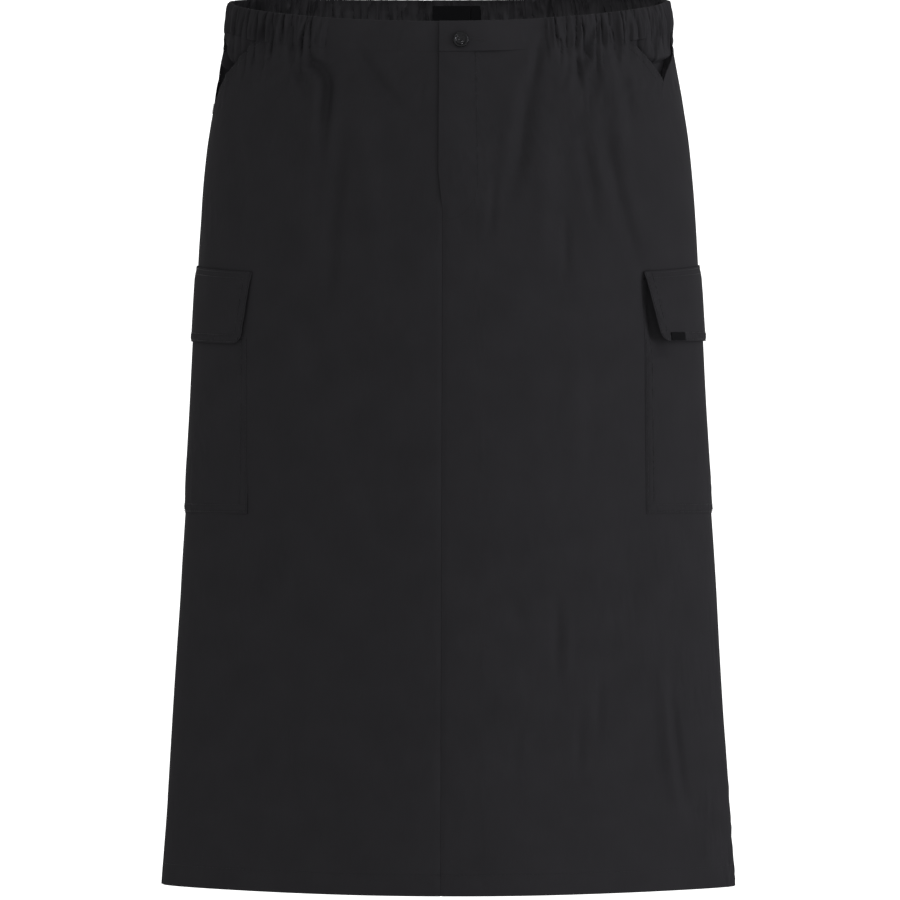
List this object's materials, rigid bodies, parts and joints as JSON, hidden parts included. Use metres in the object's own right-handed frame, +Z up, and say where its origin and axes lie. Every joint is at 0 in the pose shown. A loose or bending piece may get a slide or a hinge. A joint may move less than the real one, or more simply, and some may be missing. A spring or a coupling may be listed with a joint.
{
  "type": "cargo utility skirt",
  "caption": "Long cargo skirt with gathered elastic waistband, button fly, slanted hip pockets and flapped cargo pockets, filled out as worn.",
  "frame": {"origin": "middle of the waist opening, halfway down the waistband at the sides", "axes": "+Z up towards the waist, -Y to the front, +X to the wearer's left"},
  "size_m": [0.4876, 0.2542, 0.76],
  "materials": {
    "cloth": "plain matt woven cloth, charcoal black",
    "label": "smooth woven label, black",
    "button": "glossy black metal"
  },
  "bodies": {
    "root": {"front_panel_left": "cloth", "front_panel_right": "cloth", "back_panel": "cloth", "waistband_front_left": "cloth", "waistband_front_right": "cloth", "waistband_back": "cloth", "hip_facing_left": "cloth", "hip_facing_right": "cloth", "cargo_pocket_left": "cloth", "cargo_pocket_right": "cloth", "pocket_flap_left": "cloth", "pocket_flap_right": "cloth", "flap_tag": "label", "waist_label": "label", "size_tab": "label", "waist_button": "button"}
  },
  "joints": []
}
